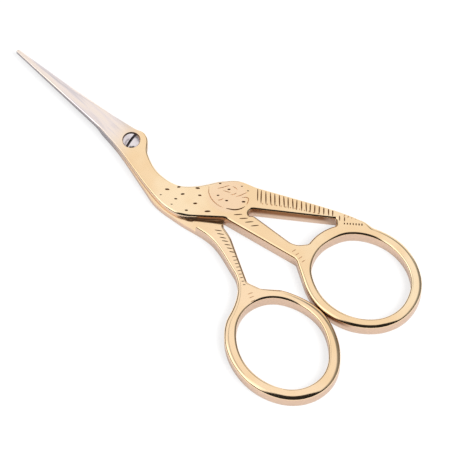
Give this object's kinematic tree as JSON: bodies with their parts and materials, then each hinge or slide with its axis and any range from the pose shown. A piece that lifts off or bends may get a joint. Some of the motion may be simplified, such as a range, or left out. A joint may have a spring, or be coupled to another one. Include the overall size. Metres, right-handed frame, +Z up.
{
  "type": "embroidery scissors",
  "caption": "Small embroidery scissors shaped as a standing stork: beak blades, finger rings below the legs, and halves that cross under a slotted pivot screw.",
  "frame": {"origin": "middle of the closed scissors' outline in plan, on the plane they rest on", "axes": "+Y along the closed blades to their tips, +Z up from the rest face, out of the engraved side, +X to the tail's side"},
  "size_m": [0.0516, 0.117, 0.0042],
  "materials": {
    "front_gilt": "polished pale gold plating over steel, engraved on the flat face, fading to bare polished steel on the blade",
    "back_gilt": "polished pale gold plating over steel, engraved on the leg, fading to bare polished steel on the blade",
    "screw_steel": "polished steel, slotted domed head"
  },
  "bodies": {
    "back": {"back_half": "back_gilt", "pivot_screw": "screw_steel"},
    "front": {"front_half": "front_gilt"}
  },
  "joints": [
    {"name": "pivot", "type": "hinge", "parent": "back", "child": "front", "pos_m": [-0.0016, 0.02071, 0.0021], "axis": [0, 0, 1], "range_deg": [0, 90]}
  ]
}
